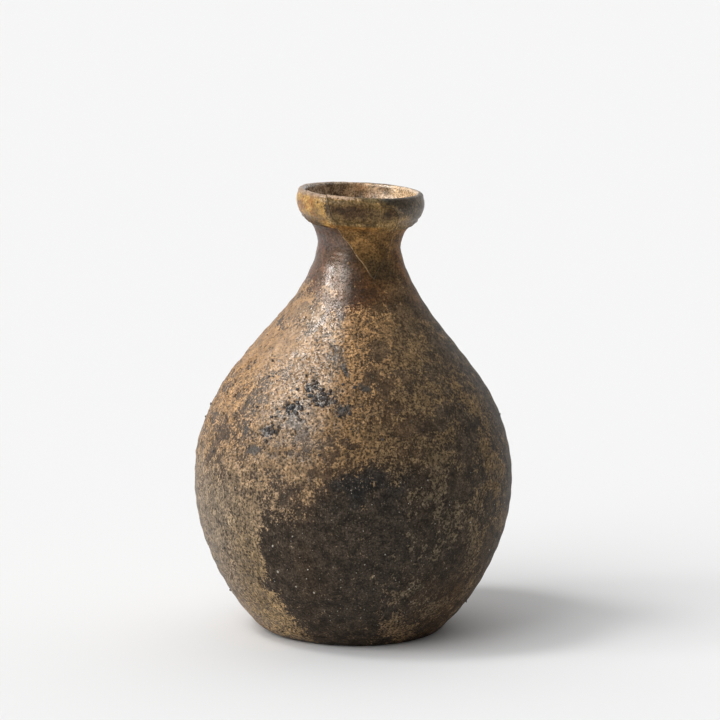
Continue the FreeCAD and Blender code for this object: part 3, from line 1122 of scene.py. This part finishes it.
def pebble(centre, size, seed, flat=1.0, level=2, lumpy=0.5):
    """An uneven rounded lump, flattened towards the bottle's axis: its points and faces."""
    points, faces = BALLS[level]
    swell = 1 + rough(points, 1.3, seed, octaves=2) * lumpy
    points = points * swell[:, None] * size / 2
    out = centre * (1, 1, 0) / np.hypot(*centre[:2])
    points -= np.outer(points @ out, out) * (1 - flat)
    return points + centre, faces


def on_skin(azimuths, heights, above):
    """Points at heights above the finished surface, ash and all."""
    spokes = around(azimuths)
    columns = (WALL_RUN[:, 0], *normals_of(WALL_RUN).T)
    radius, level, slope = (np.interp(heights, WALL_RUN[:, 1], column) for column in columns)
    base = np.c_[spokes * radius[:, None], heights]
    out = np.c_[spokes * level[:, None], slope]
    cover = cover_at(base, scorch_at(base))
    rise = warp_at(base) + outside_relief(base, cover) + np.maximum(ash_rise(base, cover)[0] - CRUST_SET, 0)
    return base + out * (rise + above)[:, None]


# Clusters and fields of melted beads: (azimuth, height, spread in azimuth and height, count, sizes, darkness)
BEAD_FIELDS = [
    (-16, 78, 3.3, 1.2, 60, (0.45, 1.4), (0.6, 1.0)), (-22, 80.4, 2.2, 1.1, 26, (0.4, 1.1), (0.4, 1.0)),
    (-27.7, 73.9, 2.6, 1.5, 34, (0.5, 1.3), (0.5, 1.0)), (-34, 67.4, 2.4, 1.6, 26, (0.5, 1.3), (0.5, 1.0)),
    (-4.6, 74.2, 2.0, 1.0, 8, (0.5, 1.2), (0.6, 1.0)), (-22, 75, 14, 7, 120, (0.3, 0.95), (0.0, 0.8)),
    (-45, 66, 14, 9, 70, (0.3, 0.95), (0.0, 0.8)), (2, 78, 14, 8, 50, (0.3, 0.8), (0.0, 0.8)),
    (-8, 104, 22, 8, 34, (0.3, 0.9), (0.0, 0.5)), (-60, 50, 30, 20, 40, (0.3, 0.8), (0.2, 0.9)),
    (30, 70, 26, 24, 30, (0.3, 0.7), (0.1, 0.9)),
]


def make_clots():
    """Kiln grit melted into lumps of glassy beads, and loose beads about them."""
    rng = np.random.default_rng(5)
    parts, shades = [], []

    def add(lump, darkness):
        parts.append(lump)
        shades.append(np.full(len(lump[0]), rng.uniform(*darkness)))

    for k, (centre, size) in enumerate(islands("kiln_grit")):
        for j in range(7):
            shift = rng.normal(0, size * 0.24, 3) if j else np.zeros(3)
            own = min(size * (0.46 if j == 0 else rng.uniform(0.22, 0.42)), 2.0)
            add(pebble(centre * (0.975, 0.975, 1) + shift, own, 400 + 7 * k + j, 0.5, lumpy=0.9), (0.7, 1.0))
    for azimuth, height, wide, tall, count, sizes, darkness in BEAD_FIELDS:
        own = sizes[0] + (sizes[1] - sizes[0]) * rng.random(count) ** 1.6
        centres = on_skin(azimuth + rng.normal(0, wide, count), height + rng.normal(0, tall, count), own * 0.04)
        for k, (centre, size) in enumerate(zip(centres, own)):
            add(pebble(centre, size, 900 + k, 0.8, level=2 if size > 0.8 else 1, lumpy=0.7), darkness)
    points, faces = joined(parts)
    dark = np.clip(np.concatenate(shades) + rough(points, 1.5, 507) * 0.5, 0, 1)
    clay = mixed(plain(GRIT_BLACK, points), GRIT_BROWN, noise(points, 4, 509) ** 2)
    crust = strokes(points, TAN, CRUST_STROKES)
    looks = (clay, crust, np.clip(1.0 - dark * 1.6, 0, 1), 0.6 + 0.4 * dark, np.zeros(len(points)))
    build("kiln_clots", points, faces, looks, grit_finish(), "kiln_grit")


CRUMBS = 110
STONE_SHARE = 0.46


def make_stones():
    """Feldspar stones, and crumbs of the same stone in the dark front."""
    rng = np.random.default_rng(9)
    centres, sizes = zip(*islands("feldspar_stones"))
    centres = np.array(centres)
    stones = on_skin(azimuth_of(centres), centres[:, 2], 0.0)
    parts = [
        pebble(place, size * STONE_SHARE, 600 + 5 * k, 0.6, lumpy=1.1)
        for k, (place, size) in enumerate(zip(stones, sizes))
    ]
    crumbs = on_skin(rng.normal(8, 34, CRUMBS), rng.uniform(6, 56, CRUMBS), 0.0)
    parts += [pebble(p, rng.uniform(0.16, 0.38), 700 + k, 0.7, level=1, lumpy=1.0) for k, p in enumerate(crumbs)]
    points, faces = joined(parts)
    look = bare(plain(TAN, points))
    build("pale_stones", points, faces, look, feldspar_finish(), "feldspar_stones")


make_wall()
make_cavity()
make_slab()
make_collar()
make_fragment()
make_seam()
make_crust()
make_clots()
make_stones()

# ---- Floor, light and camera ----

CAD_LOW, CAD_HIGH = (np.array(corner) for corner in CAD_BOX)
HEIGHT = CAD_HIGH[2] - CAD_LOW[2]
FLOOR_REACH = 9.0


def make_floor():
    mesh = bpy.data.meshes.new("studio_floor")
    corners = [(-1, -1), (1, -1), (1, 1), (-1, 1)]
    mesh.from_pydata([(x * FLOOR_REACH, y * FLOOR_REACH, 0) for x, y in corners], [], [(0, 1, 2, 3)])
    finish = Finish("pale_floor")
    finish.set("Base Color", FLOOR_PALE)
    finish.set("Roughness", 0.9)
    finish.set("Specular IOR Level", 0.1)
    mesh.materials.append(finish.material)
    floor = bpy.data.objects.new("studio_floor", mesh)
    bpy.context.scene.collection.objects.link(floor)


def aimed(thing, place, target):
    thing.location = place
    thing.rotation_euler = (Vector(target) - Vector(place)).to_track_quat("-Z", "Y").to_euler()
    bpy.context.scene.collection.objects.link(thing)
    return thing


def direction(azimuth, elevation):
    """The unit vector towards an azimuth, 0 at the front, and an elevation, both in degrees."""
    a, e = math.radians(azimuth), math.radians(elevation)
    return Vector((math.sin(a) * math.cos(e), -math.cos(a) * math.cos(e), math.sin(e)))


# The key light is a tall soft source with a brighter heart and a brighter lower end:
# (name, energy, degrees across, azimuth, elevation)
KEY_PARTS = [
    ("key_soft", 1.38, 54, -58, 43),
    ("key_wide", 0.6, 60, -33, 37),
    ("key_heart", 0.65, 12, -81, 60),
    ("key_low", 0.45, 14, -80, 28),
]

# The studio is dark in front and above the camera, and bright behind and over the bottle
SKY_DARK = 0.04
SKY_BRIGHT = 0.905
SKY_SPAN = (-0.3, 1.1)
BRIGHT_WAY = (-0.1, 1.0, 0.6)
KEY_AWAY = 3


def make_key():
    middle = Vector((0, 0, HEIGHT / 2))
    for name, energy, angle, azimuth, elevation in KEY_PARTS:
        key = bpy.data.lights.new(name, "SUN")
        key.energy = energy
        key.angle = math.radians(angle)
        place = middle + direction(azimuth, elevation) * KEY_AWAY
        aimed(bpy.data.objects.new(name, key), place, middle)


def make_sky():
    world = bpy.data.worlds.new("studio")
    world.use_nodes = True
    tree = world.node_tree
    view = add_node(tree, "ShaderNodeTexCoord").outputs["Generated"]
    toward = add_node(tree, "ShaderNodeVectorMath", {0: view, 1: BRIGHT_WAY}, operation="DOT_PRODUCT")
    span = {"From Min": SKY_SPAN[0], "From Max": SKY_SPAN[1], "To Min": SKY_DARK, "To Max": SKY_BRIGHT}
    span["Value"] = toward.outputs["Value"]
    glow = add_node(tree, "ShaderNodeMapRange", span, interpolation_type="SMOOTHSTEP").outputs["Result"]
    feed(tree, tree.nodes["Background"].inputs["Strength"], glow)
    feed(tree, tree.nodes["Background"].inputs["Color"], (1, 1, 1))
    bpy.context.scene.world = world


CAMERA_ELEVATION = 10.73
CAMERA_DISTANCE = 1.2
CAMERA_LENS = 196.1
SENSOR = 36.0
LOOK_PLACE = Vector((-0.00167, 0, 0.0675))
LOOK_AT = Vector((0.00179, 0.00285, 0.08255))


def make_camera():
    camera = bpy.data.cameras.new("camera")
    camera.lens = CAMERA_LENS
    camera.sensor_width = SENSOR
    camera.clip_end = 40
    place = LOOK_PLACE + direction(0, CAMERA_ELEVATION) * CAMERA_DISTANCE
    bpy.context.scene.camera = aimed(bpy.data.objects.new("camera", camera), place, LOOK_AT)


make_floor()
make_key()
make_sky()
make_camera()
bpy.context.scene.view_settings.view_transform = "Standard"
